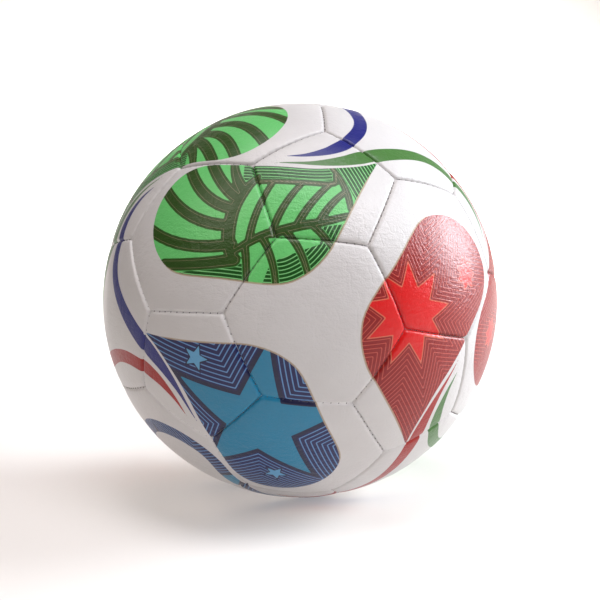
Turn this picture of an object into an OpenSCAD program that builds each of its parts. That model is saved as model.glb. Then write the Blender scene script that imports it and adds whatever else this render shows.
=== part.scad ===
// Size 5 soccer ball: 32 sewn panels (20 hexagons and 12 pentagons) round an inflated bladder.
// The origin is the ball's centre. +Z is up, the ball's front faces -Y, and the valve is at +Y.
// From the outside in: printed skin, foam, cloth, bladder. Each skin turns inwards at its edges,
// and the needle thread and the bobbin thread run inside the cover, on the two sides of each seam.

/* [Ball] */
// Diameter of the inflated ball
ball_d = 220; // [216:0.5:223]
// Turn of the panel pattern about the axis from front to back
pattern_turn = 5.37; // [0:0.01:60]

/* [Cover] */
// Thickness of the printed skin
skin_t = 1.2; // [0.8:0.1:1.6]
// Thickness of the foam behind the skin
foam_t = 2.4; // [1.5:0.1:3]
// Thickness of the cloth behind the foam
cloth_t = 0.5; // [0.3:0.1:1]
// Gap between two neighbouring panels at their seam
seam_gap = 0.2; // [0.1:0.05:0.4]
// Width and depth of the rolled edge along each side of a panel
edge_roll = 0.6; // [0.3:0.1:0.7]
// Diameter of the sewing thread
thread_d = 0.7; // [0.4:0.1:0.8]

/* [Bladder] */
// Thickness of the bladder's wall
bladder_t = 0.7; // [0.5:0.1:1.2]
// Diameter of the balance patch, opposite the valve
balance_patch_d = 32; // [20:1:40]
// Thickness of the two patches
patch_t = 0.8; // [0.5:0.1:1.2]

/* [Valve] */
// Diameter of the housing's stem, which shows in the valve panel
stem_d = 8.5; // [7:0.1:10]
// Diameter of the housing's flange, bonded inside the bladder
flange_d = 20; // [16:1:26]
// Thickness of the flange
flange_t = 1; // [0.8:0.1:1.5]
// Diameter of the reinforcing patch over the flange
valve_patch_d = 32; // [28:1:40]
// Diameter of the replaceable core
core_d = 4.4; // [4:0.1:5]
// Length of the core, with its head
core_l = 13; // [11:0.5:15]
// Diameter of the core's head
head_d = 5.8; // [5.4:0.1:6.2]
// Height of the core's head
head_h = 1; // [0.8:0.1:1.5]
// Diameter of the needle hole
needle_d = 2; // [1.8:0.1:2.2]
// Depth of the needle hole
needle_l = 11; // [8:0.5:11.5]

/* [Hidden] */
// Facets of the layers and bars, and of the ball where it rounds off the small valve parts
$fn = 96;
fine_fn = 360;

// Running clearance between the core and its housing, on the radius and at the ends
core_gap = 0.05;
// Gap between two layers of the cover, and round the stem
layer_gap = 0.15;
// Room between the cover and the bladder
bladder_gap = 0.2;
// Floor under the core, and the air hole through it
floor_t = 1;
air_hole_d = 1.6;
// Width of the channel beside each seam edge, which holds the thread
channel_w = thread_d + 0.2;
// Each run of thread stops this far short of the panel's corners
corner_clear = 3;
// A length that reaches past the whole ball
beyond = 2 * ball_d;

// Radii of the layers, from the outside in
ball_r = ball_d / 2;
foam_r = ball_r - skin_t - layer_gap;
cloth_r = foam_r - foam_t - layer_gap;
lining_r = cloth_r - cloth_t;
bladder_r = lining_r - bladder_gap;
flange_r = bladder_r - bladder_t - layer_gap;
thread_r = (ball_r - skin_t + lining_r) / 2;

// Insets from the middle of a seam
skin_inset = seam_gap / 2;
pocket_inset = skin_inset + skin_t;
backing_inset = pocket_inset + channel_w;
thread_inset = pocket_inset + channel_w / 2;

// ---- Where the panels lie: a truncated icosahedron, blown up to a sphere ----
golden = (1 + sqrt(5)) / 2;
// Distance from the centre to a corner, for sides one unit long
corner_r = sqrt(58 + 18 * sqrt(5)) / 4;

function unit(v) = v / norm(v);
function turned(v, k) = [v[k % 3], v[(k + 1) % 3], v[(k + 2) % 3]];

// Angles at the ball's centre: from a panel's middle to a side, and along half a side
function side_angle(sides) =
    atan(1 / (2 * tan(180 / sides)) / sqrt(pow(corner_r, 2) - pow(1 / (2 * sin(180 / sides)), 2)));
half_side_angle = asin(1 / (2 * corner_r));

// The pattern's own axes: the front hexagon's middle, and the pentagon next to it
pattern_front = unit([1, 1, 1]);
pattern_up = unit([0, 1, golden] - ([0, 1, golden] * pattern_front) * pattern_front);
pattern_side = cross(pattern_front, pattern_up);
// The same axes in the ball's frame
ball_front = [0, -1, 0];
ball_up = [sin(pattern_turn), 0, cos(pattern_turn)];
ball_side = cross(ball_front, ball_up);

function placed(v) =
    (v * pattern_front) * ball_front + (v * pattern_up) * ball_up + (v * pattern_side) * ball_side;

pentagon_pattern = [for (k = [0:2], a = [1, -1], b = [1, -1]) turned([0, a, b * golden], k)];
hexagon_pattern = concat(
    [for (a = [1, -1], b = [1, -1], c = [1, -1]) if (a + b + c > -3) [a, b, c]],
    [for (k = [0:2], a = [1, -1], b = [1, -1]) turned([0, a * golden, b / golden], k)]);
valve_pattern = [-1, -1, -1];

// Directions of the panels' middles
pentagons = [for (v = pentagon_pattern) unit(placed(v))];
hexagons = [for (v = hexagon_pattern) unit(placed(v))];
valve_axis = unit(placed(valve_pattern));
all_hexagons = concat(hexagons, [valve_axis]);

// Each seam is a pair of neighbours: their middles are less than 42 degrees apart
all_panels = concat(pentagons, all_hexagons);
seams = [for (i = [0:30], j = [i + 1:31]) if (all_panels[i] * all_panels[j] > cos(42))
    [all_panels[i], all_panels[j], side_angle(i < len(pentagons) ? 5 : 6)]];

pentagon_names = [for (i = [1:len(pentagons)]) str("pentagon_panel_", i)];
hexagon_names = [for (i = [1:len(hexagons)]) str("hexagon_panel_", i)];

// Colours
white = "#e6e1e1";
green = "#64be64";
red = "#dc3732";
blue = "#4187a5";
foam_colour = "#f2ead2";
cloth_colour = "#d9d9d4";
needle_colour = "#3c3c41";
bobbin_colour = "#f0f0ea";
bladder_colour = "#33312f";
patch_colour = "#6b6460";
housing_colour = "#1d1d1f";
core_colour = "#8d8d90";

// ---- Shared shapes ----

// Puts local +Z on a panel's middle, and local +X towards the middle of one neighbour
module on_panel(middle, others) {
    beside = [for (d = others) if (d * middle > cos(38)) d][0];
    x = unit(beside - (beside * middle) * middle);
    y = cross(middle, x);
    multmatrix([[x[0], y[0], middle[0], 0], [x[1], y[1], middle[1], 0], [x[2], y[2], middle[2], 0]])
        children();
}

// Puts local +X on the middle of a seam, and local +Z square to the seam
module on_seam(seam) {
    along = unit(cross(seam[0], seam[1]));
    towards = cross(along, seam[0]);
    x = cos(seam[2]) * seam[0] + sin(seam[2]) * towards;
    z = cos(seam[2]) * towards - sin(seam[2]) * seam[0];
    multmatrix([[x[0], -along[0], z[0], 0], [x[1], -along[1], z[1], 0], [x[2], -along[2], z[2], 0]])
        children();
}

// A ball whose poles lie away from the panel's middle
module layer(r) {
    rotate([90, 0, 0]) sphere(r);
}

// Repeats its child at each side of a panel, with local +X square to that side
module at_sides(sides) {
    for (i = [0:sides - 1]) rotate([0, 0, i * 360 / sides]) rotate([0, side_angle(sides), 0])
        children();
}

// Everything beyond a panel's sides, once they are pulled in by inset
module beyond_sides(sides, inset) {
    at_sides(sides) translate([-inset, -beyond / 2, -beyond / 2]) cube(beyond);
}

// The strip along each side where the panel's edge rolls down into the seam
module rolled_edge(sides) {
    difference() {
        beyond_sides(sides, skin_inset + edge_roll);
        layer(ball_r - edge_roll);
    }
}

// A printed skin, with its edges turned in down to the lining
module skin(sides) {
    difference() {
        layer(ball_r);
        layer(lining_r);
        beyond_sides(sides, skin_inset);
        rolled_edge(sides);
        difference() {
            layer(ball_r - skin_t);
            beyond_sides(sides, pocket_inset);
        }
    }
}

// A layer behind the skin, clear of the turned edges and the thread
module backing(sides, outer_r, thickness) {
    difference() {
        layer(outer_r);
        layer(outer_r - thickness);
        beyond_sides(sides, backing_inset);
    }
}

// A round bar along the valve's axis, between two distances from the ball's centre
module valve_bar(d, from, to) {
    rotate([-90, 0, 0]) translate([0, 0, from]) cylinder(d = d, h = to - from);
}

// A round patch that follows the bladder, centred on the valve's axis
module round_patch(d, outer_r, thickness) {
    difference() {
        intersection() {
            sphere(outer_r);
            valve_bar(d, ball_r / 2, beyond);
        }
        sphere(outer_r - thickness);
    }
}

// One run of thread along each seam, on one side of it
module thread_runs(side) {
    run_angle = 2 * (half_side_angle - corner_clear * 180 / (PI * thread_r));
    for (seam = seams) on_seam(seam) translate([0, 0, side * thread_inset])
        rotate([0, 0, -run_angle / 2]) rotate_extrude(angle = run_angle)
            translate([thread_r, 0]) circle(d = thread_d, $fn = 16);
}

// ---- One module per sub-part ----

module hexagon_panel(i) color(white) on_panel(hexagons[i], pentagons) skin(6);

module pentagon_panel(i) color([green, red, blue][floor(i / 4)])
    on_panel(pentagons[i], all_hexagons) skin(5);

module valve_panel() color(white) difference() {
    on_panel(valve_axis, pentagons) skin(6);
    valve_bar(stem_d + 2 * layer_gap, ball_r / 2, beyond);
}

module hexagon_foam() color(foam_colour)
    for (d = hexagons) on_panel(d, pentagons) backing(6, foam_r, foam_t);

module pentagon_foam() color(foam_colour)
    for (d = pentagons) on_panel(d, all_hexagons) backing(5, foam_r, foam_t);

module valve_panel_foam() color(foam_colour) difference() {
    on_panel(valve_axis, pentagons) backing(6, foam_r, foam_t);
    valve_bar(stem_d + 2 * layer_gap, ball_r / 2, beyond);
}

module hexagon_cloth() color(cloth_colour)
    for (d = hexagons) on_panel(d, pentagons) backing(6, cloth_r, cloth_t);

module pentagon_cloth() color(cloth_colour)
    for (d = pentagons) on_panel(d, all_hexagons) backing(5, cloth_r, cloth_t);

module valve_panel_cloth() color(cloth_colour) difference() {
    on_panel(valve_axis, pentagons) backing(6, cloth_r, cloth_t);
    valve_bar(stem_d + 2 * layer_gap, ball_r / 2, beyond);
}

module needle_thread() color(needle_colour) thread_runs(1);

module bobbin_thread() color(bobbin_colour) thread_runs(-1);

module bladder() color(bladder_colour) difference() {
    sphere(bladder_r);
    sphere(bladder_r - bladder_t);
    valve_bar(stem_d + 2 * layer_gap, ball_r / 2, beyond);
}

module balance_patch() color(patch_colour)
    mirror([0, 1, 0]) round_patch(balance_patch_d, flange_r, patch_t);

// A stepped patch: it covers the flange and is bonded to the bladder round it
module valve_patch() color(patch_colour) difference() {
    round_patch(valve_patch_d, flange_r, flange_t + layer_gap + patch_t);
    intersection() {
        difference() {
            sphere(beyond);
            sphere(flange_r - flange_t - layer_gap);
        }
        valve_bar(flange_d + 2 * layer_gap, ball_r / 2, beyond);
    }
    valve_bar(stem_d + 2 * layer_gap, ball_r / 2, beyond);
}

module valve_housing() color(housing_colour) difference() {
    union() {
        intersection() {
            sphere(ball_r, $fn = fine_fn);
            valve_bar(stem_d, ball_r - core_l - core_gap - floor_t, beyond);
        }
        round_patch(flange_d, flange_r, flange_t);
    }
    valve_bar(core_d + 2 * core_gap, ball_r - core_l - core_gap, beyond);
    valve_bar(head_d + 2 * core_gap, ball_r - head_h - core_gap, beyond);
    valve_bar(air_hole_d, ball_r / 2, beyond);
}

module valve_core() color(core_colour) difference() {
    intersection() {
        sphere(ball_r, $fn = fine_fn);
        union() {
            valve_bar(core_d, ball_r - core_l, beyond);
            valve_bar(head_d, ball_r - head_h, beyond);
        }
    }
    valve_bar(needle_d, ball_r - needle_l, beyond);
}

for (i = [0:len(hexagons) - 1]) hexagon_panel(i);
valve_panel();
for (i = [0:len(pentagons) - 1]) pentagon_panel(i);
hexagon_foam();
valve_panel_foam();
pentagon_foam();
hexagon_cloth();
valve_panel_cloth();
pentagon_cloth();
needle_thread();
bobbin_thread();
bladder();
balance_patch();
valve_patch();
valve_housing();
valve_core();
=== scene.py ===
import math

import bpy
import numpy as np
from mathutils import Matrix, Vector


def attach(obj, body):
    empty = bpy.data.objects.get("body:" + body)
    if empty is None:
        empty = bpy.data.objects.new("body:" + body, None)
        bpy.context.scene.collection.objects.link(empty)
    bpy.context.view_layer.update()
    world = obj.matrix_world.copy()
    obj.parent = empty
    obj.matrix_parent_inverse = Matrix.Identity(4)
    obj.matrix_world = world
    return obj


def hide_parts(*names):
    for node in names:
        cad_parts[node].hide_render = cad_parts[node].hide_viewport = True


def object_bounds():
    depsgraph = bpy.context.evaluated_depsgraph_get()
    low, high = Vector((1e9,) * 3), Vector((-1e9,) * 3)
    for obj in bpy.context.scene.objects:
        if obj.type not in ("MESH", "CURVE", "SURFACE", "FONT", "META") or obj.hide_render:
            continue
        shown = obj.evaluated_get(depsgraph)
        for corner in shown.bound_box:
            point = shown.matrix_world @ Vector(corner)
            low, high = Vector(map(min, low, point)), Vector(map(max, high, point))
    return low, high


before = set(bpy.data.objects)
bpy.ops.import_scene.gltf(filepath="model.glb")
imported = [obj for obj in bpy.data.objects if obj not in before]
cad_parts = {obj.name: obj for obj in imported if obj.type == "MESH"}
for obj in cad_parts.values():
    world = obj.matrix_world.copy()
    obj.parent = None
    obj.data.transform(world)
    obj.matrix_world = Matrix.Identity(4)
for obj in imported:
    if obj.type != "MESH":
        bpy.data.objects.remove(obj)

MM = 0.001
cad_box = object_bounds()
rng = np.random.default_rng(26)

# ---- Sizes, in millimetres ----
BALL_R = (cad_box[1].z - cad_box[0].z) / 2 / MM
SKIN_T = 1.2
LINING_R = 105.6
SEAM_GAP = 0.2
ROLL_R = 1.8            # radius of a panel's rolled edge
PUFF_DEPTH, PUFF_REACH = 0.55, 4.5
STITCH_PITCH, STITCHES = 3.9, 11
PUCKER_DEPTH, PUCKER_REACH = 0.26, 1.6
WAVE_DEPTH, WAVE_FADE = 0.07, 2     # unevenness of the hand-finished cover, and its fade at an edge
EDGE_LIMIT = 0.03       # a point's distance to the seam is taken as no less than this
CORNER_SOFTNESS = 0.7
LATTICE_STEPS = 56      # mesh steps along one side of a panel
EDGE_BAND = 3.0         # width of the strip with the finer mesh
STRIP_RINGS = 12        # rings of the finer mesh in that strip
UNDER_RINGS = 9         # rings from the underside's border to its middle
TURNED_EDGE_GAP = 0.05  # between the turned edge and the lining
MISPRINT = 0.45         # how far a panel's print may be off its place

HOLE_R = 4.4            # hole in the valve panel
STEM_R = 4.25
STEM_FLOOR = 1.0        # rubber under the core
FLANGE_R, FLANGE_TOP, FLANGE_T = 10.0, 104.55, 1.0
FLANGE_RISE = 0.5       # the flange slopes up to the stem by this much
AIR_HOLE_R = 0.8
HEAD_R, HEAD_H = 2.9, 1.0
CORE_R, CORE_L = 2.2, 13.0
CORE_GAP = 0.05
CORE_RIBS, RIB_START, RIB_PITCH, RIB_DEPTH = 5, 1.2, 2.1, 0.12
NEEDLE_R, NEEDLE_L = 1.0, 11.0
AXIS_R = 0.01           # points of an outline nearer the axis than this are on it
HOUSING_ROUNDING, CORE_ROUNDING = 0.18, 0.12


# ---- Camera ----
def look_at(thing, place, target=(0, 0, 0)):
    """Puts a camera or light at a place and turns its -Z axis to the target."""
    place, target = np.array(place, float), np.array(target, float)
    back = (place - target) / np.linalg.norm(place - target)
    right = np.cross((0, 0, 1), back)
    right /= np.linalg.norm(right)
    up = np.cross(back, right)
    columns = np.column_stack([right, up, back, place])
    thing.matrix_world = Matrix([*columns.tolist(), [0, 0, 0, 1]])


CAMERA_DISTANCE = 0.6238    # metres
CAMERA_DIRECTION = np.array([-0.0698, -0.9924, 0.1017])
LENS, SENSOR = 66.18, 36    # millimetres
camera = bpy.data.objects.new("camera", bpy.data.cameras.new("camera"))
bpy.context.scene.collection.objects.link(camera)
bpy.context.scene.camera = camera
camera.data.sensor_width = SENSOR
camera.data.lens = LENS
camera.data.clip_start, camera.data.clip_end = 0.01, 100
look_at(camera, CAMERA_DISTANCE * CAMERA_DIRECTION)


# ---- Where the panels lie: a truncated icosahedron, blown up to a sphere ----
def unit(v):
    """Vectors of length 1 in the same directions."""
    v = np.asarray(v, float)
    return v / np.linalg.norm(v, axis=-1, keepdims=True)


GOLDEN = (1 + math.sqrt(5)) / 2
CORNER_R = math.sqrt(58 + 18 * math.sqrt(5)) / 4
PATTERN_TURN = math.radians(5.37)
NEIGHBOUR_ANGLE = math.radians(42)  # only panels that share a seam are nearer than this

pattern_front = unit([1, 1, 1])
pattern_up = unit(np.array([0, 1, GOLDEN]) - pattern_front.dot([0, 1, GOLDEN]) * pattern_front)
pattern_axes = np.array([pattern_front, pattern_up, np.cross(pattern_front, pattern_up)])
ball_front = np.array([0, -1, 0])
ball_up = np.array([math.sin(PATTERN_TURN), 0, math.cos(PATTERN_TURN)])
ball_axes = np.array([ball_front, ball_up, np.cross(ball_front, ball_up)])
SIGNS = [(a, b) for a in (1, -1) for b in (1, -1)]


def turned(v, k):
    """The three numbers of v, moved round by k places."""
    return [v[(i + k) % 3] for i in range(3)]


def placed(v):
    """A direction of the pattern, in the ball's frame."""
    return unit(pattern_axes.dot(v) @ ball_axes)


def side_angle(sides):
    """Angle at the ball's centre from a panel's middle to the middle of a side."""
    apothem = 0.5 / math.tan(math.pi / sides)
    corner = 0.5 / math.sin(math.pi / sides)
    return math.atan(apothem / math.sqrt(CORNER_R**2 - corner**2))


pentagons = [placed(turned([0, a, b * GOLDEN], k)) for k in range(3) for a, b in SIGNS]
cube_corners = [(a, b, c) for a in (1, -1) for b, c in SIGNS if a + b + c > -3]
edge_points = [turned([0, a * GOLDEN, b / GOLDEN], k) for k in range(3) for a, b in SIGNS]
hexagons = [placed(v) for v in cube_corners + edge_points]
valve_axis = placed([-1, -1, -1])
middles = np.array(pentagons + hexagons + [valve_axis])
sides_of = [5] * len(pentagons) + [6] * (len(hexagons) + 1)
names = ([f"pentagon_panel_{i + 1}" for i in range(len(pentagons))]
         + [f"hexagon_panel_{i + 1}" for i in range(len(hexagons))] + ["valve_panel"])


def seam_frame(a, b):
    """The middle of the seam between two panels, its run, and its normal towards panel b."""
    along = unit(np.cross(middles[a], middles[b]))
    towards = np.cross(along, middles[a])
    angle = side_angle(sides_of[a])
    middle = math.cos(angle) * middles[a] + math.sin(angle) * towards
    return middle, along, math.cos(angle) * towards - math.sin(angle) * middles[a]


def neighbours(a):
    """The panels that share a seam with a panel."""
    near = middles @ middles[a] > math.cos(NEIGHBOUR_ANGLE)
    return [b for b in range(len(middles)) if b != a and near[b]]


# ---- The print: lobes and swooshes, laid out in millimetres round each pentagon's middle ----
LOBE_OUTLINE = [(27, 19), (18, -3), (9, -26), (2.5, -40), (-8, -50.5), (-22, -54.7), (-48, -51),
                (-75, -44), (-87.5, -31), (-92.3, -14), (-88.5, 3.5), (-77.5, 15.4), (-63.5, 18),
                (-44, 12.4), (-20, 8.3), (-5, 7.4), (10, 10.3), (20, 14.3), (27, 19)]
# A line with its half-width at each point. It ends beside the next lobe but one.
SWOOSH_LINE = [(-25, 11.3, 0.1), (-10, 10.8, 1), (0, 12, 2.1), (10, 15.2, 3.3), (20, 20.6, 4.4),
               (33, 28, 4.4), (46, 35.4, 4.1), (58, 40.7, 3.8), (70, 42.5, 4), (82, 40.5, 4),
               (89.5, 37.4, 3.8), (97, 31.4, 2.6), (103.5, 21.4, 1.1), (107, 9, 0)]
SWOOSH_GAP = 1.3        # white line between a lobe and its swoosh
GREEN, RED, BLUE = 0, 1, 2
PRINT_REACH = 120.0     # no print of a lobe lies further from its pentagon's middle
PRINT_MARGIN = 3.0      # distances are worked out this far beyond a shape
WIDEST_STROKE = 5       # no stroke is wider to either side of its line
PART_SIZE = 4000        # points worked on at a time
FAR = 99.0              # stands for any distance too large to matter


def smooth_line(points, steps=5):
    """A Catmull-Rom curve through the points, with a few steps between each two."""
    points = np.array(points, float)
    padded = np.vstack([2 * points[0] - points[1], points, 2 * points[-1] - points[-2]])
    t = (np.arange(steps) / steps)[:, None]
    made = []
    for p0, p1, p2, p3 in zip(padded, padded[1:], padded[2:], padded[3:]):
        made.append(p1 + t / 2 * (p2 - p0 + t * (2 * p0 - 5 * p1 + 4 * p2 - p3
                                                  + t * (3 * (p1 - p2) + p3 - p0))))
    return np.vstack(made + [points[-1:]])


def bezier(start, control, end, width, end_width, steps=10):
    """A curved stroke with its half-width, thinning or growing from start to end."""
    t = np.linspace(0, 1, steps)[:, None]
    line = (1 - t)**2 * np.array(start) + 2 * t * (1 - t) * np.array(control) + t * t * np.array(end)
    return np.hstack([line, width + (end_width - width) * t])


def to_segments(points, line):
    """Distances from points to each segment of a line, and where on it the nearest point is."""
    start, step = line[:-1, :2], np.diff(line[:, :2], axis=0)
    offset = points[:, None] - start
    share = np.clip((offset * step).sum(-1) / (step * step).sum(-1), 0, 1)
    return np.linalg.norm(offset - share[..., None] * step, axis=-1), share


def stroke_distance(points, line):
    """Distance to a stroke's edge, below zero inside it."""
    distance, share = to_segments(points, line)
    return (distance - (line[:-1, 2] + share * np.diff(line[:, 2]))).min(-1)


def outline_distance(points, outline):
    """Distance to a closed outline, below zero inside it."""
    distance = to_segments(points, outline)[0].min(-1)
    (x0, y0), (x1, y1) = outline[:-1].T, outline[1:].T
    x, y = points[:, :1], points[:, 1:]
    crosses = (y0 > y) != (y1 > y)
    with np.errstate(divide="ignore", invalid="ignore"):
        crosses &= x < x0 + (y - y0) * (x1 - x0) / (y1 - y0)
    return np.where(crosses.sum(1) % 2, -distance, distance)


def star_distance(points, centre, tips, outer, inner, turn):
    """Distance beyond a star's straight sides. Its level lines keep sharp corners."""
    offset = points - np.array(centre, float)
    sector = 2 * math.pi / tips
    angle = np.arctan2(offset[:, 1], offset[:, 0]) - math.radians(turn)
    angle = np.abs((angle + sector / 2) % sector - sector / 2)
    reach = np.linalg.norm(offset, axis=1)
    notch = inner * np.array([math.cos(sector / 2), math.sin(sector / 2)])
    normal = unit([notch[1], outer - notch[0]])
    return (reach * np.cos(angle) - outer) * normal[0] + reach * np.sin(angle) * normal[1]


def half_plane(points, through, normal):
    """Distance beyond a straight line, below zero on the side that the normal points away from."""
    return (points - np.array(through, float)) @ unit(normal)


def region(points, *borders):
    """Distance to what lies within all of some straight borders, each a point and a normal."""
    return np.max([half_plane(points, *border) for border in borders], axis=0)


lobe_outline = smooth_line(LOBE_OUTLINE)
swoosh_line = smooth_line(SWOOSH_LINE)

# The green lobe: a fan of five bands on a spine, and a ribbed leaf beside it
LEAF_SPINE = [(-33, 3, 2), (-39, -5, 3), (-44.5, -16, 3.6), (-46.5, -30, 3.8), (-44, -42, 3.2)]
FAN = [((-40, -5), (-45, 3), (-46, 15)), ((-44, -8), (-52, 0), (-58, 17)),
       ((-45, -15), (-63, -8), (-71, 19)), ((-46, -24), (-71, -20), (-86, 11)),
       ((-45, -34), (-74, -35), (-95, -12)), ((-43, -42), (-64, -43), (-84, -37))]
FAN_WIDTH, FAN_TIP, FIRST_FAN_TIP = 3.4, 3.2, 2.1       # half-widths of the bands
LEAF_RIBS = [((-36, -34), (-34, -16), (-25, -1)), ((-25, -30), (-21, -15), (-11, -2)),
             ((-13, -26), (-8, -14), (2, -2)), ((-2, -23), (2, -13), (10, -5)),
             ((-38, -35), (-36, -45), (-37, -57)), ((-30, -31), (-22, -42), (-21, -57)),
             ((-18, -28), (-9, -37), (-5, -52)), ((-6, -24), (2, -30), (7, -38))]
RIB_WIDTH, RIB_TIP = 2.2, 1.7
LEAF_VEINS = [
    [(-44, -38, 2.2), (-30, -31, 2.5), (-14, -26, 2.6), (0, -22.5, 2.3), (14, -17, 1.8)],
    [(3, 9, 1.6), (7, 3, 1.8), (11, -6, 1.9), (13, -14, 1.7)],
    [(-32, 0, 1.7), (-12, -1.5, 1.7), (4, -1, 1.7), (5, 5, 1.5)]]
fan_tips = [FIRST_FAN_TIP] + [FAN_TIP] * (len(FAN) - 1)
leaf_strokes = [smooth_line(LEAF_SPINE)]
leaf_strokes += [bezier(*band, FAN_WIDTH, tip) for band, tip in zip(FAN, fan_tips)]
leaf_strokes += [bezier(*rib, RIB_WIDTH, RIB_TIP) for rib in LEAF_RIBS]
leaf_strokes += [smooth_line(vein) for vein in LEAF_VEINS]

# The stars: middle, number of tips, reach of the tips and of the notches, and turn in degrees
BURST = ((-30, -33), 9, 25, 13.5, 8)
RED_SPARK = ((-66, -4), 7, 8.5, 5, 10)
STAR = ((-35.6, -21.3), 5, 45.5, 17.4, 180)
BLUE_SPARKS = [((7, -8.5), 5, 6.8, 6.8 * 0.42, 100), ((-71, -5), 5, 6.3, 6.3 * 0.42, 75)]
HATCH_PITCH, BLUE_PITCH, RED_PITCH = 1.9, 2.4, 2.0      # between two printed lines
STAR_EDGE, BURST_EDGE = 2.3, 0.55                       # plain border between a star and the lines
FIGURE_GAP, RED_SPARK_GAP, BLUE_SPARK_GAP = 0.2, 0.4, 0.6


# Each family's print gives the distances to its figure and its spark, which of its lines a point is
# on, and the distance to the lined area.
def green_print(uv, lobe):
    figure = np.min([stroke_distance(uv, line) for line in leaf_strokes], axis=0)
    top = region(uv, ((-15, 0), (0.03, -1)), ((-40.5, 0), (-1, 0)), ((5, 5), (1, 0.3)))
    tip = region(uv, ((6, 8), (-1, -0.55)), ((7, 3), (-1, -0.5)))
    foot = region(uv, ((-12, -39), (-0.42, 1)), ((-25, -46), (-1, 0.35)))
    heel = region(uv, ((-60, -44), (0, 1)), ((-37, -50), (1, 0)))
    side = region(uv, ((-1, 0), (-1, 0)), ((0, -25), (-0.25, 1)))
    area = np.min([top, tip, foot, heel, side], axis=0)
    across = half_plane(uv, (6, 8), (1, 0.55))
    phase = np.where(tip < 0, across, -lobe) / HATCH_PITCH
    return figure, np.full(len(uv), FAR), phase, np.maximum(area, FIGURE_GAP - figure)


def red_print(uv, lobe):
    figure, spark = star_distance(uv, *BURST), star_distance(uv, *RED_SPARK)
    lined = np.maximum(BURST_EDGE - figure, RED_SPARK_GAP - spark)
    return figure, spark, (figure - BURST_EDGE) / RED_PITCH, lined


def blue_print(uv, lobe):
    figure = star_distance(uv, *STAR)
    spark = np.min([star_distance(uv, *star) for star in BLUE_SPARKS], axis=0)
    lined = np.maximum(STAR_EDGE - figure, BLUE_SPARK_GAP - spark)
    return figure, spark, (figure - STAR_EDGE) / BLUE_PITCH, lined


# This blue lobe has a white field inside, left blank, and a band of print round it
BLANK_LOBE = placed([GOLDEN, 0, -1])
BLANK_BAND = 9.0
SAME_DIRECTION = 0.999

FAMILY_PRINTS = {GREEN: green_print, RED: red_print, BLUE: blue_print}


def lobe_frames():
    """The 12 lobes: the family, and the across, up and outward directions of each."""
    frames = []
    for k in range(3):
        for a, b in SIGNS:
            out = placed(turned([0, a, b * GOLDEN], k))
            down = placed(turned([a * b, a, b], k))
            up = unit((down @ out) * out - down)
            frames.append((k, np.array([np.cross(up, out), up, out])))
    return frames


RIM_WIDTH, RIM_INSET = 0.45, 0.1    # half the beige edge line's width, and how far in its middle lies
RIM_TOP, RIM_SLOPE, RIM_FADE = 6, 0.45, 14


def rim_distance(uv, lobe):
    """Distance to the beige edge line. It follows a lobe's lower and right side only."""
    shown = np.clip((RIM_TOP - uv[:, 1] + RIM_SLOPE * uv[:, 0]) / RIM_FADE, 0, 1)
    return np.abs(lobe + RIM_INSET) - RIM_WIDTH * shown


def near_parts(numbers, flat, line):
    """The points that lie in a line's box, in parts small enough for one step of work."""
    low = line[:, :2].min(0) - WIDEST_STROKE - PRINT_MARGIN
    high = line[:, :2].max(0) + WIDEST_STROKE + PRINT_MARGIN
    found = np.flatnonzero(((flat > low) & (flat < high)).all(1))
    parts = np.array_split(found, max(1, len(found) // PART_SIZE))
    return [(numbers[part], flat[part]) for part in parts if len(part)]


def print_fields(directions):
    """The print's distances at directions on the ball, in millimetres."""
    count = len(directions)
    fields = {name: np.full(count, FAR) for name in ("lobe", "rim", "figure", "spark", "lined", "swoosh")}
    fields |= {name: np.zeros(count) for name in ("phase", "family", "swoosh_family")}
    for family, axes in lobe_frames():
        local = directions @ axes.T
        near = np.flatnonzero(local[:, 2] > math.cos(PRINT_REACH / BALL_R))
        angle = np.arccos(np.clip(local[near, 2], -1, 1))
        flat = local[near, :2] * (BALL_R * angle / np.maximum(np.sin(angle), 1e-9))[:, None]
        for part, uv in near_parts(near, flat, lobe_outline):
            lobe = outline_distance(uv, lobe_outline)
            if axes[2] @ BLANK_LOBE > SAME_DIRECTION:
                lobe = np.maximum(lobe, -BLANK_BAND - lobe)
            mine = lobe < fields["lobe"][part]
            part, uv, lobe = part[mine], uv[mine], lobe[mine]
            figure, spark, phase, lined = FAMILY_PRINTS[family](uv, lobe)
            values = {"lobe": lobe, "rim": rim_distance(uv, lobe), "figure": figure, "spark": spark,
                      "phase": phase, "lined": lined, "family": float(family)}
            for name, value in values.items():
                fields[name][part] = value
        for part, uv in near_parts(near, flat, swoosh_line):
            swoosh = stroke_distance(uv, swoosh_line)
            closer = swoosh < fields["swoosh"][part]
            fields["swoosh"][part[closer]] = swoosh[closer]
            fields["swoosh_family"][part[closer]] = family
    fields["swoosh"] = np.maximum(fields["swoosh"], SWOOSH_GAP - fields["lobe"])
    return fields


# ---- Panel meshes ----
WAVES = 9
wave_vectors = rng.normal(0, 1, (WAVES, 3))
wave_vectors = unit(wave_vectors) * rng.uniform(18, 42, (WAVES, 1))
wave_phases = rng.uniform(0, 2 * math.pi, WAVES)


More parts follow.
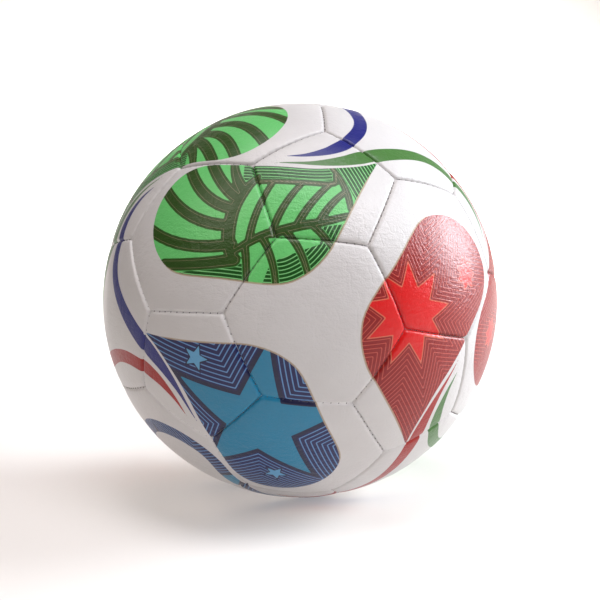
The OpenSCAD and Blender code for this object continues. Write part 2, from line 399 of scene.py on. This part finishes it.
def panel_surface(directions, normals, seam_lines):
    """Radius of a sewn panel's outside, in millimetres, at directions from the ball's centre."""
    to_sides = -BALL_R * np.arcsin(np.clip(directions @ normals.T, -1, 1))
    soft = -CORNER_SOFTNESS * np.log(np.exp(-to_sides / CORNER_SOFTNESS).sum(1))
    edge = np.maximum(soft, EDGE_LIMIT)
    nearest = to_sides.argmin(1)
    along = BALL_R * np.arcsin((directions * seam_lines[nearest]).sum(1))
    in_roll = np.minimum(edge, ROLL_R)
    roll = ROLL_R - np.sqrt(ROLL_R**2 - (ROLL_R - in_roll)**2)
    puff = PUFF_DEPTH * np.exp(-edge / PUFF_REACH)
    stitched = np.abs(along) < STITCH_PITCH * STITCHES / 2
    pucker = PUCKER_DEPTH * (0.5 + 0.5 * np.cos(2 * math.pi * along / STITCH_PITCH)) * stitched
    waves = np.sin(directions @ wave_vectors.T + wave_phases).mean(1)
    return (BALL_R - roll - puff - pucker * np.exp(-edge / PUCKER_REACH)
            - WAVE_DEPTH * (1 + waves) * (1 - np.exp(-edge / WAVE_FADE)))


def flat_outline(sides, steps):
    """Points round a panel's outline, seen from its middle, at equal steps along each side."""
    apothem = math.tan(side_angle(sides))
    turns = (np.arange(sides + 1) - 0.5) * 2 * math.pi / sides
    corners = apothem / math.cos(math.pi / sides) * np.column_stack([np.cos(turns), np.sin(turns)])
    share = (np.arange(steps) / steps)[:, None]
    return np.vstack([a + share * (b - a) for a, b in zip(corners, corners[1:])])


def inset_scale(sides, inset):
    """How much smaller the outline is once it is pulled in by inset."""
    angle = side_angle(sides)
    return math.tan(angle - inset / BALL_R) / math.tan(angle)


def join_rings(first, second):
    """Triangles between two closed rings of as many points."""
    a, b = first, second
    a1, b1 = np.roll(a, -1), np.roll(b, -1)
    return np.vstack([np.column_stack([a, a1, b1]), np.column_stack([a, b1, b])])


def end_fans(rings, first_tip):
    """Triangles that close the first and the last ring of a run, each to a tip of its own."""
    fans = []
    for ring, tip, order in ((rings[0], first_tip, 1), (rings[-1], first_tip + 1, -1)):
        fans.append(np.column_stack([ring, np.roll(ring, -1), np.full(len(ring), tip)])[:, ::order])
    return fans


def lattice(sides, steps):
    """A panel's inner part as triangles: flat points scaled 0 to 1, faces, and its outer ring."""
    points, faces, start = [np.zeros((1, 2))], [], 1
    inner = np.zeros(1, int)
    for row in range(1, steps + 1):
        ring = np.arange(start, start + sides * row)
        points.append(flat_outline(sides, row) * row / steps)
        for side in range(sides):
            outer_run = ring[(side * row + np.arange(row + 1)) % len(ring)]
            inner_run = inner[(side * (row - 1) + np.arange(row)) % len(inner)]
            faces.append(np.column_stack([inner_run, outer_run[:-1], outer_run[1:]]))
            if row > 1:
                faces.append(np.column_stack([inner_run[:-1], outer_run[1:-1], inner_run[1:]]))
        start += len(ring)
        inner = ring
    return np.vstack(points), np.vstack(faces), inner


def panel_mesh(number):
    """Vertices in millimetres, faces and print fields of one panel, a closed solid."""
    sides, middle = sides_of[number], middles[number]
    frames = [seam_frame(number, b) for b in neighbours(number)]
    normals = np.array([f[2] for f in frames])
    seam_lines = np.array([f[1] for f in frames])
    beside = [f for f, b in zip(frames, neighbours(number)) if sides == 5 or sides_of[b] == 5][0]
    x = unit(beside[0] - (beside[0] @ middle) * middle)
    y = np.cross(middle, x)
    outline = flat_outline(sides, LATTICE_STEPS)
    count = len(outline)

    has_hole = names[number] == "valve_panel"
    band_scale = inset_scale(sides, EDGE_BAND)
    hole = math.tan(HOLE_R / BALL_R) * unit(outline)
    if has_hole:
        shares = np.linspace(0, 1, LATTICE_STEPS)[:, None, None]
        flat = ((1 - shares) * hole + shares * outline * band_scale).reshape(-1, 2)
        rings = np.arange(len(flat)).reshape(LATTICE_STEPS, count)
        faces = [join_rings(a, b)[:, ::-1] for a, b in zip(rings, rings[1:])]
        first_ring, ring = rings[0], rings[-1]
    else:
        flat, inner_faces, ring = lattice(sides, LATTICE_STEPS)
        flat, faces = flat * band_scale, [inner_faces]

    # The finer strip along the edge
    steps_out = np.sin(np.linspace(0, math.pi / 2, STRIP_RINGS + 1))[1:]
    insets = EDGE_BAND - (EDGE_BAND - SEAM_GAP / 2) * steps_out
    flats, start = [flat], len(flat)
    for inset in insets:
        flats.append(outline * inset_scale(sides, inset))
        new_ring = np.arange(start, start + count)
        faces.append(join_rings(ring, new_ring)[:, ::-1])
        ring, start = new_ring, start + count
    flat = np.vstack(flats)
    directions = unit(middle + flat[:, :1] * x + flat[:, 1:] * y)
    radius = panel_surface(directions, normals, seam_lines)

    # The turned edge, its inner wall and the underside
    inside_r = BALL_R - SKIN_T
    wall_inset, inner_inset = SEAM_GAP / 2, SEAM_GAP / 2 + SKIN_T
    edge_r = LINING_R + TURNED_EDGE_GAP
    steps = [(wall_inset, edge_r), (inner_inset, edge_r), (inner_inset, inside_r)]
    under = [outline * inset_scale(sides, inset) for inset, _ in steps]
    radii = [np.full(count, r) for _, r in steps]
    target = hole if has_hole else np.zeros((count, 2))
    for share in np.linspace(0, 1, UNDER_RINGS)[1:-1]:
        under.append((1 - share) * under[2] + share * target)
        radii.append(np.full(count, inside_r))
    if has_hole:
        under.append(hole)
        radii.append(np.full(count, inside_r))
    for _ in under:
        new_ring = np.arange(start, start + count)
        faces.append(join_rings(ring, new_ring)[:, ::-1])
        ring, start = new_ring, start + count
    if has_hole:
        faces.append(join_rings(ring, first_ring)[:, ::-1])
    else:
        under.append(np.zeros((1, 2)))
        radii.append(np.full(1, inside_r))
        faces.append(np.column_stack([np.full(count, start), np.roll(ring, -1), ring]))
    shift = rng.uniform(-MISPRINT, MISPRINT, 2) / BALL_R
    fields = print_fields(unit(directions + shift[0] * x + shift[1] * y))
    under = np.vstack(under)
    fields = {key: np.concatenate([values, np.full(len(under), FAR)]) for key, values in fields.items()}
    directions = np.vstack([directions, unit(middle + under[:, :1] * x + under[:, 1:] * y)])
    radius = np.concatenate([radius] + radii)
    return directions * radius[:, None], np.vstack(faces), fields


def make_object(name, vertices, faces, material, fields=None):
    """A smooth mesh object from millimetres, with one float attribute for each field."""
    mesh = bpy.data.meshes.new(name)
    mesh.vertices.add(len(vertices))
    mesh.vertices.foreach_set("co", (vertices * MM).astype(np.float32).ravel())
    mesh.loops.add(faces.size)
    mesh.loops.foreach_set("vertex_index", faces.astype(np.int32).ravel())
    mesh.polygons.add(len(faces))
    mesh.polygons.foreach_set("loop_start", np.arange(0, faces.size, 3, dtype=np.int32))
    mesh.update(calc_edges=True)
    mesh.shade_smooth()
    for key, values in (fields or {}).items():
        mesh.attributes.new(key, "FLOAT", "POINT").data.foreach_set("value", values.astype(np.float32))
    mesh.materials.append(material)
    made = bpy.data.objects.new(name, mesh)
    bpy.context.scene.collection.objects.link(made)
    return made


# ---- Materials ----
def srgb(red, green, blue):
    """A colour as seen in the photo, 0 to 255, as linear light."""
    linear = [c / 12.92 if c <= 0.04045 else ((c + 0.055) / 1.055)**2.4 for c in
              (red / 255, green / 255, blue / 255)]
    return (*linear, 1)


class Shader:
    """A node material. Its methods add a node and return its output."""

    def __init__(self, name):
        self.material = bpy.data.materials.new(name)
        self.material.use_nodes = True
        self.tree = self.material.node_tree
        self.surface = self.tree.nodes["Principled BSDF"]

    def node(self, kind, inputs=(), output=0, **settings):
        """Adds any node, with its inputs by name or number."""
        made = self.tree.nodes.new("ShaderNode" + kind)
        for key, value in settings.items():
            setattr(made, key, value)
        for key, value in dict(inputs).items():
            self.put(made.inputs[key], value)
        return made.outputs[output]

    def put(self, socket, value):
        """Links an output to a socket, or sets a plain value on it."""
        if isinstance(value, bpy.types.NodeSocket):
            self.tree.links.new(value, socket)
        else:
            socket.default_value = value

    def set(self, **values):
        """Sets the surface's own sockets."""
        for key, value in values.items():
            self.put(self.surface.inputs[key.replace("_", " ")], value)
        return self

    def math(self, operation, a, b=0.0):
        return self.node("Math", {0: a, 1: b}, operation=operation)

    def field(self, name):
        """One of the distances that the mesh carries."""
        return self.node("Attribute", output="Fac", attribute_name=name)

    def below(self, value, edge=0.0, softness=0.07):
        """1 where the value is below the edge, 0 above it, with a soft step between."""
        inputs = {"Value": value, "From Min": edge - softness, "From Max": edge + softness,
                  "To Min": 1.0, "To Max": 0.0}
        return self.node("MapRange", inputs, interpolation_type="SMOOTHSTEP")

    def mix(self, share, a, b, blend="MIX"):
        made = self.tree.nodes.new("ShaderNodeMix")
        made.data_type, made.blend_type = "RGBA", blend
        for socket, value in zip((made.inputs[0], made.inputs[6], made.inputs[7]), (share, a, b)):
            self.put(socket, value)
        return made.outputs[2]

    def steps(self, value, colours):
        """One colour for each whole number from 0."""
        made = self.tree.nodes.new("ShaderNodeValToRGB")
        ramp = made.color_ramp
        ramp.interpolation = "CONSTANT"
        for number, colour in enumerate(colours):
            place = max(0, (number - 0.5) / len(colours))
            stop = ramp.elements[0] if number == 0 else ramp.elements.new(place)
            stop.color = colour
        ramp.elements.remove(ramp.elements[-1])
        self.put(made.inputs[0], self.math("DIVIDE", value, float(len(colours))))
        return made.outputs[0]

    def noise(self, size, detail=3.0, stretch=(1, 1, 1), roughness=0.5):
        """Noise with lumps about size millimetres across."""
        place = self.node("TexCoord", output="Object")
        place = self.node("Mapping", {"Vector": place, "Scale": stretch})
        return self.node("TexNoise", {"Vector": place, "Scale": 1 / (size * MM), "Detail": detail,
                                      "Roughness": roughness})

    def cells(self, size):
        """Round cells about size millimetres across."""
        place = self.node("TexCoord", output="Object")
        return self.node("TexVoronoi", {"Vector": place, "Scale": 1 / (size * MM)}, output="Distance")

    def spread(self, value, low, high):
        """The value, from 0 to 1, spread over another range."""
        return self.node("MapRange", {"Value": value, "To Min": low, "To Max": high})

    def bump(self, height, depth, strength, normal=None):
        """Relief of so many millimetres, on top of another bump."""
        inputs = {"Height": height, "Distance": depth * MM, "Strength": strength}
        if normal is not None:
            inputs["Normal"] = normal
        return self.node("Bump", inputs)


PRINT_DEPTH = 0.86      # the inks' own brightness, against how the photo shows them
PRINT_GLOSS = 0.026     # the gloss that lies over them there


def ink(*seen):
    """A printed colour as seen in the photo, less the gloss that lies over it."""
    return (*[max(c * PRINT_DEPTH - PRINT_GLOSS, 0.003) for c in srgb(*seen)[:3]], 1)


BEIGE = srgb(170, 150, 125)
FIGURE_INKS = [ink(66, 90, 54), ink(222, 48, 42), ink(58, 136, 172)]
GROUND_INKS = [ink(28, 90, 42), ink(146, 38, 40), ink(20, 37, 90)]
LINE_INKS = [ink(140, 214, 138), ink(202, 90, 78), ink(108, 150, 202)]
REST_INKS = [ink(116, 206, 122), ink(214, 112, 90), ink(34, 30, 76)]
SPARK_INKS = [ink(100, 196, 102), ink(228, 56, 46), ink(108, 170, 212)]
SWOOSH_INKS = [ink(86, 126, 74), ink(168, 54, 46), ink(60, 62, 126)]
LINE_SHARES = [0.12, 0.09, 0.12]    # half a printed line's width, as a share of its pitch
LINE_SOFTNESS = 0.04
VEIN_INSET, VEIN_WIDTH, VEIN_SHARE = 1.35, 0.1, 0.45    # a thin beige line within the green figure
RIM_SHARE = 0.8
WEAR_SIZE, WEAR_LOW, WEAR_HIGH = 0.9, 0.9, 1.08         # unevenness of the inks
# The cover's bumps: size and depth in millimetres, and strength
PEBBLE_SIZE, PEBBLE_DEPTH, PEBBLE_STRENGTH = 0.8, 0.09, 0.7
GRAIN_SIZE, GRAIN_DEPTH, GRAIN_STRENGTH = 0.32, 0.05, 0.6
CREASE_SIZE, CREASE_DEPTH, CREASE_STRENGTH = 5, 0.45, 0.8
FOLD_SIZE, FOLD_DEPTH, FOLD_STRENGTH, FOLD_WIDTH = 13, 0.1, 0.55, 0.035
RELIEF_DEPTH, RELIEF_STRENGTH = 0.05, 0.8               # of the printed lines
GLOSS_SIZE, GLOSS_LOW, GLOSS_HIGH = 2.4, 0.28, 0.39     # patches of roughness


def printed_cover():
    """Glossy TPU with the print, fine grain and creases."""
    s = Shader("printed cover")
    family, figure, lobe = s.field("family"), s.field("figure"), s.field("lobe")
    phase = s.math("FRACT", s.field("phase"))
    phase = s.math("ABSOLUTE", s.math("SUBTRACT", phase, 0.5))
    line = s.math("SUBTRACT", phase, s.steps(family, [(share, share, share, 1) for share in LINE_SHARES]))
    in_lines = s.math("MULTIPLY", s.below(line, 0, LINE_SOFTNESS), s.below(s.field("lined")))
    colour = s.steps(family, REST_INKS)
    colour = s.mix(s.below(s.field("lined")), colour, s.steps(family, GROUND_INKS))
    colour = s.mix(in_lines, colour, s.steps(family, LINE_INKS))
    colour = s.mix(s.below(s.field("spark")), colour, s.steps(family, SPARK_INKS))
    colour = s.mix(s.below(figure), colour, s.steps(family, FIGURE_INKS))
    vein = s.below(s.math("ABSOLUTE", s.math("ADD", figure, VEIN_INSET)), VEIN_WIDTH)
    is_green = s.below(family, 0.5, 0.1)
    vein = s.math("MULTIPLY", vein, is_green)
    colour = s.mix(s.math("MULTIPLY", vein, VEIN_SHARE), colour, BEIGE)
    wear = s.spread(s.noise(WEAR_SIZE, 4), WEAR_LOW, WEAR_HIGH)
    colour = s.mix(1.0, colour, s.node("CombineColor", {0: wear, 1: wear, 2: wear}), "MULTIPLY")

    white = s.mix(s.noise(16, 3), srgb(196, 192, 191), srgb(203, 200, 199))
    white = s.mix(s.below(s.field("swoosh")), white, s.steps(s.field("swoosh_family"), SWOOSH_INKS))
    colour = s.mix(s.below(lobe), white, colour)
    colour = s.mix(s.math("MULTIPLY", s.below(s.field("rim")), RIM_SHARE), colour, BEIGE)

    pebbles = s.bump(s.cells(PEBBLE_SIZE), PEBBLE_DEPTH, PEBBLE_STRENGTH)
    grain = s.bump(s.noise(GRAIN_SIZE, 2), GRAIN_DEPTH, GRAIN_STRENGTH, pebbles)
    crease = s.noise(CREASE_SIZE, 5, (1, 1, 2.2), 0.62)
    creases = s.bump(crease, CREASE_DEPTH, CREASE_STRENGTH, grain)
    fold = s.math("ABSOLUTE", s.math("SUBTRACT", s.noise(FOLD_SIZE, 3, (1, 1, 0.5), 0.55), 0.5))
    fold = s.node("MapRange", {"Value": fold, "From Max": FOLD_WIDTH})
    folds = s.bump(fold, FOLD_DEPTH, FOLD_STRENGTH, creases)
    relief = s.bump(s.math("MULTIPLY", in_lines, s.below(lobe)), RELIEF_DEPTH, RELIEF_STRENGTH, folds)
    gloss = s.spread(s.noise(GLOSS_SIZE, 4), GLOSS_LOW, GLOSS_HIGH)
    s.set(Base_Color=colour, Roughness=gloss, Normal=relief, Specular_IOR_Level=0.55, IOR=1.46)
    return s.material


def foam():
    """Cream foam with open cells."""
    s = Shader("foam")
    colour = s.mix(s.noise(1.5, 4), srgb(236, 226, 196), srgb(248, 240, 218))
    s.set(Base_Color=colour, Roughness=s.spread(s.noise(1.2), 0.8, 0.95),
          Normal=s.bump(s.cells(0.6), 0.3, 0.7))
    return s.material


def cloth(name, dark, light, thread):
    """Plain weave, from two crossed waves."""
    s = Shader(name)
    place = s.node("TexCoord", output="Object")
    waves = [s.node("TexWave", {"Vector": place, "Scale": 0.3 / (thread * MM), "Distortion": 0.4},
                    bands_direction=axis, output="Fac") for axis in ("X", "Z")]
    weave = s.math("MULTIPLY", *waves)
    s.set(Base_Color=s.mix(weave, dark, light), Roughness=s.spread(weave, 0.95, 0.8),
          Normal=s.bump(weave, 0.15, 0.8), Sheen_Weight=0.2)
    return s.material


TWIST_SCALE = 900.0


def thread(name, dark, light):
    """Waxed polyester thread with its twist."""
    s = Shader(name)
    place = s.node("TexCoord", output="Object")
    twist = s.node("TexWave", {"Vector": place, "Scale": TWIST_SCALE, "Distortion": 1.5}, output="Fac",
                   bands_direction="DIAGONAL")
    s.set(Base_Color=s.mix(twist, dark, light), Roughness=s.spread(twist, 0.45, 0.7),
          Normal=s.bump(twist, 0.06, 0.8))
    return s.material


def rubber(name, dark, light, roughness):
    """Moulded rubber with a faint powdery bloom."""
    s = Shader(name)
    bloom = s.noise(3.5, 5)
    s.set(Base_Color=s.mix(bloom, dark, light),
          Roughness=s.spread(bloom, roughness - 0.08, roughness + 0.1),
          Normal=s.bump(s.noise(0.4, 4), 0.05, 0.6), Specular_IOR_Level=0.35)
    return s.material


# ---- Stitches: the needle thread rises and crosses each seam at every stitch ----
THREAD_R = 0.18
TUBE_SIDES = 6
# One stitch, as points along and across the seam, and out from the ball's centre
STITCH_PATH = [(-1.55, 1.75, 107.2), (-0.75, 1.6, 107.3), (-0.35, 1.25, 107.9), (-0.2, 0.7, 108.3),
               (-0.1, 0, 108.5), (0.1, -0.6, 108.3), (0.3, -0.6, 108.0), (0.5, 0.4, 107.4),
               (0.9, 1.5, 107.2)]


def tube(line, radius):
    """A tube along a line of points, closed with a flat fan at each end."""
    heading = unit(np.gradient(line, axis=0))
    side = unit(np.cross(heading, unit(line.mean(0))))
    up = np.cross(side, heading)
    angle = np.arange(TUBE_SIDES) * 2 * math.pi / TUBE_SIDES
    ring = np.cos(angle)[:, None, None] * side + np.sin(angle)[:, None, None] * up
    points = (line + radius * ring).transpose(1, 0, 2).reshape(-1, 3)
    rings = np.arange(len(points)).reshape(-1, TUBE_SIDES)
    faces = [join_rings(b, a) for a, b in zip(rings, rings[1:])]
    faces += end_fans(rings, len(points))
    return np.vstack([points, line[:1], line[-1:]]), np.vstack(faces)


def seam_stitches():
    """One thread along each seam, through all of its stitches."""
    numbers = range(-(STITCHES // 2), STITCHES // 2 + 1)
    run = np.array([(k * STITCH_PITCH + x, y, r) for k in numbers for x, y, r in STITCH_PATH])
    turn = run[:, :1] / BALL_R
    all_points, all_faces, start = [], [], 0
    for a, b in [(a, b) for a in range(len(middles)) for b in neighbours(a) if b > a]:
        middle, along, across = seam_frame(a, b)
        line = run[:, 2:] * (np.cos(turn) * middle + np.sin(turn) * along) + run[:, 1:2] * across
        points, faces = tube(line, THREAD_R)
        all_points.append(points)
        all_faces.append(faces + start)
        start += len(points)
    return np.vstack(all_points), np.vstack(all_faces)


# ---- Valve ----
def lathe(profile, sides=96):
    """Turns a closed outline of (radius, distance from the ball's centre) about the valve's axis."""
    profile = np.array(profile, float)
    meets_axis = profile[:, 0].min() < AXIS_R
    profile = profile[profile[:, 0] >= AXIS_R]
    angle = np.arange(sides) * 2 * math.pi / sides
    points = np.stack([profile[:, :1] * np.cos(angle), profile[:, 1:] + 0 * angle,
                       profile[:, :1] * np.sin(angle)], axis=-1).reshape(-1, 3)
    rings = np.arange(len(points)).reshape(len(profile), sides)
    faces = [join_rings(b, a) for a, b in zip(rings, rings[1:])]
    if not meets_axis:
        return points, np.vstack(faces + [join_rings(rings[0], rings[-1])])
    faces += end_fans(rings, len(points))
    tips = [(0, height, 0) for height in profile[[0, -1], 1]]
    return np.vstack([points, tips]), np.vstack(faces)


def rounded(profile, radius, steps=4):
    """Rounds the corners of a closed outline."""
    profile = np.array(profile, float)
    made = []
    for before, corner, after in zip(np.roll(profile, 1, 0), profile, np.roll(profile, -1, 0)):
        reach_in = min(radius, 0.45 * np.linalg.norm(before - corner))
        reach_out = min(radius, 0.45 * np.linalg.norm(after - corner))
        start = corner + unit(before - corner) * reach_in
        end = corner + unit(after - corner) * reach_out
        for t in np.linspace(0, 1, steps):
            made.append((1 - t)**2 * start + 2 * t * (1 - t) * corner + t * t * end)
    return made


# ---- Put the ball together ----
cover = printed_cover()
# Four pentagons to each family of lobes, then the hexagons
for number, name in enumerate(names):
    vertices, faces, fields = panel_mesh(number)
    piece = make_object(name + "_cover", vertices, faces, cover, fields)
    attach(piece, "ball")
    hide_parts(name)

# The stitches are real thread, but their dark grey is painted shade: it stands in for the shadow in the
# stitch holes along the seams.
needle_material_painted_shade = thread("needle thread", srgb(58, 54, 54), srgb(108, 102, 100))
stitches = make_object("needle_thread_stitches", *seam_stitches(), needle_material_painted_shade)
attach(stitches, "ball")
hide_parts("needle_thread")

# Outlines as (radius, distance from the ball's centre)
core_seat = BALL_R - CORE_L - CORE_GAP
stem_foot = BALL_R - CORE_L - CORE_GAP - STEM_FLOOR
head_seat = BALL_R - HEAD_H - CORE_GAP
flange_foot = FLANGE_TOP - FLANGE_T - FLANGE_RISE
housing_profile = [
    (STEM_R, stem_foot), (STEM_R, flange_foot), (FLANGE_R, flange_foot),
    (FLANGE_R, FLANGE_TOP - FLANGE_RISE), (STEM_R, FLANGE_TOP), (STEM_R, BALL_R - 0.35),
    (STEM_R - 0.45, BALL_R - 0.1), (STEM_R - 0.65, BALL_R - 0.28), (STEM_R - 0.85, BALL_R - 0.1),
    (HEAD_R + CORE_GAP, BALL_R - 0.16), (HEAD_R + CORE_GAP, head_seat), (CORE_R + CORE_GAP, head_seat),
    (CORE_R + CORE_GAP, core_seat), (AIR_HOLE_R, core_seat), (AIR_HOLE_R, stem_foot)]
housing_material = rubber("valve housing rubber", srgb(20, 20, 22), srgb(44, 44, 47), 0.48)
housing_mesh = lathe(rounded(housing_profile, HOUSING_ROUNDING))
housing = make_object("valve_housing_moulding", *housing_mesh, housing_material)
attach(housing, "ball")
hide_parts("valve_housing")

core_foot = BALL_R - CORE_L
core_profile = [(0, core_foot), (CORE_R - 0.5, core_foot)]
for rib in range(CORE_RIBS):
    rib_foot = core_foot + RIB_START + RIB_PITCH * rib
    core_profile += [(CORE_R - RIB_DEPTH, rib_foot), (CORE_R, rib_foot + 0.3), (CORE_R, rib_foot + 0.9),
                     (CORE_R - RIB_DEPTH, rib_foot + 1.2)]
core_profile += [
    (CORE_R - 0.05, BALL_R - HEAD_H), (HEAD_R, BALL_R - HEAD_H), (HEAD_R, BALL_R - 0.22),
    (HEAD_R - 0.5, BALL_R - 0.1), (HEAD_R - 0.75, BALL_R - 0.3), (NEEDLE_R + 0.75, BALL_R - 0.3),
    (NEEDLE_R + 0.45, BALL_R - 0.12), (NEEDLE_R, BALL_R - 0.6), (NEEDLE_R, BALL_R - NEEDLE_L),
    (0, BALL_R - NEEDLE_L)]
core_material = rubber("valve core rubber", srgb(128, 128, 131), srgb(156, 155, 157), 0.5)
core_mesh = lathe(rounded(core_profile, CORE_ROUNDING))
core = make_object("valve_core_plug", *core_mesh, core_material)
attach(core, "valve_core")
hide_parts("valve_core")

foam_material = foam()
cloth_material = cloth("backing cloth", srgb(186, 184, 176), srgb(226, 225, 218), 0.5)
patch_material = rubber("patch rubber", srgb(92, 84, 80), srgb(122, 112, 106), 0.62)
INNER_MATERIALS = {
    "hexagon_foam": foam_material, "valve_panel_foam": foam_material, "pentagon_foam": foam_material,
    "hexagon_cloth": cloth_material, "valve_panel_cloth": cloth_material, "pentagon_cloth": cloth_material,
    "bobbin_thread": thread("bobbin thread", srgb(205, 204, 196), srgb(245, 244, 238)),
    "bladder": rubber("bladder rubber", srgb(38, 36, 34), srgb(66, 62, 58), 0.55),
    "balance_patch": patch_material, "valve_patch": patch_material}
for node_name, material in INNER_MATERIALS.items():
    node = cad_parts[node_name]
    node.data.materials.clear()
    node.data.materials.append(material)


# ---- Studio ----
def sweep():
    """A pale floor that curves up into a backdrop behind the ball."""
    floor_z = -BALL_R * MM
    front_y, back_y, bend_r = -3.5, 2.6, 1.2
    half_width, height = 6.0, 5.0
    angle = np.linspace(-math.pi / 2, 0, 17)
    line = [(front_y, floor_z)]
    line += [(back_y + bend_r * math.cos(a), floor_z + bend_r * (1 + math.sin(a))) for a in angle]
    line.append((back_y + bend_r, height))
    columns = np.linspace(-half_width, half_width, 9)
    points = np.array([(x, y, z) for y, z in line for x in columns])
    rows = np.arange(len(points)).reshape(len(line), len(columns))
    a, b, c, d = rows[:-1, :-1], rows[:-1, 1:], rows[1:, 1:], rows[1:, :-1]
    faces = np.vstack([np.stack(corners, -1).reshape(-1, 3) for corners in ([a, b, c], [a, c, d])])
    s = Shader("studio sweep")
    s.set(Base_Color=s.mix(s.noise(300, 2), srgb(227, 222, 217), srgb(231, 227, 223)), Roughness=0.9,
          Specular_IOR_Level=0.1)
    floor = make_object("floor", points / MM, faces, s.material)


def soft_light(name, place, size, power, colour, target=(0, 0, 0), spread=180, shadow=True):
    """A round area light: metres, watts, and degrees of spread."""
    data = bpy.data.lights.new(name, "AREA")
    data.shape, data.size, data.energy, data.color = "DISK", size, power, colour
    data.spread, data.use_shadow = math.radians(spread), shadow
    light = bpy.data.objects.new(name, data)
    bpy.context.scene.collection.objects.link(light)
    look_at(light, place, target)


sweep()
soft_light("key", (1.36, 0.28, 0.52), 0.75, 31, (0.86, 0.94, 1))
soft_light("upper light", (0.95, -0.8, 1.35), 0.9, 20, (0.96, 0.96, 1), shadow=False)
soft_light("front light", (0.15, -0.4, 1.6), 0.9, 11, (0.97, 0.94, 1))
soft_light("top light", (-0.45, 0.2, 2.3), 0.9, 3, (1, 1, 1), target=(-0.35, 0.2, 0), spread=100)
soft_light("left fill", (-1.1, -0.5, 1.4), 0.9, 8, (1, 0.9, 0.81), shadow=False)
soft_light("backdrop light", (0.1, 1.25, 2.6), 0.9, 104, (1, 1, 1), target=(0.25, 2.4, 0), spread=84)
WORLD_COLOUR, WORLD_STRENGTH = (1, 0.91, 0.83, 1), 0.05
world = bpy.data.worlds.new("studio")
world.use_nodes = True
background = world.node_tree.nodes["Background"]
background.inputs["Color"].default_value = WORLD_COLOUR
background.inputs["Strength"].default_value = WORLD_STRENGTH
bpy.context.scene.world = world
bpy.context.scene.view_settings.view_transform = "Standard"
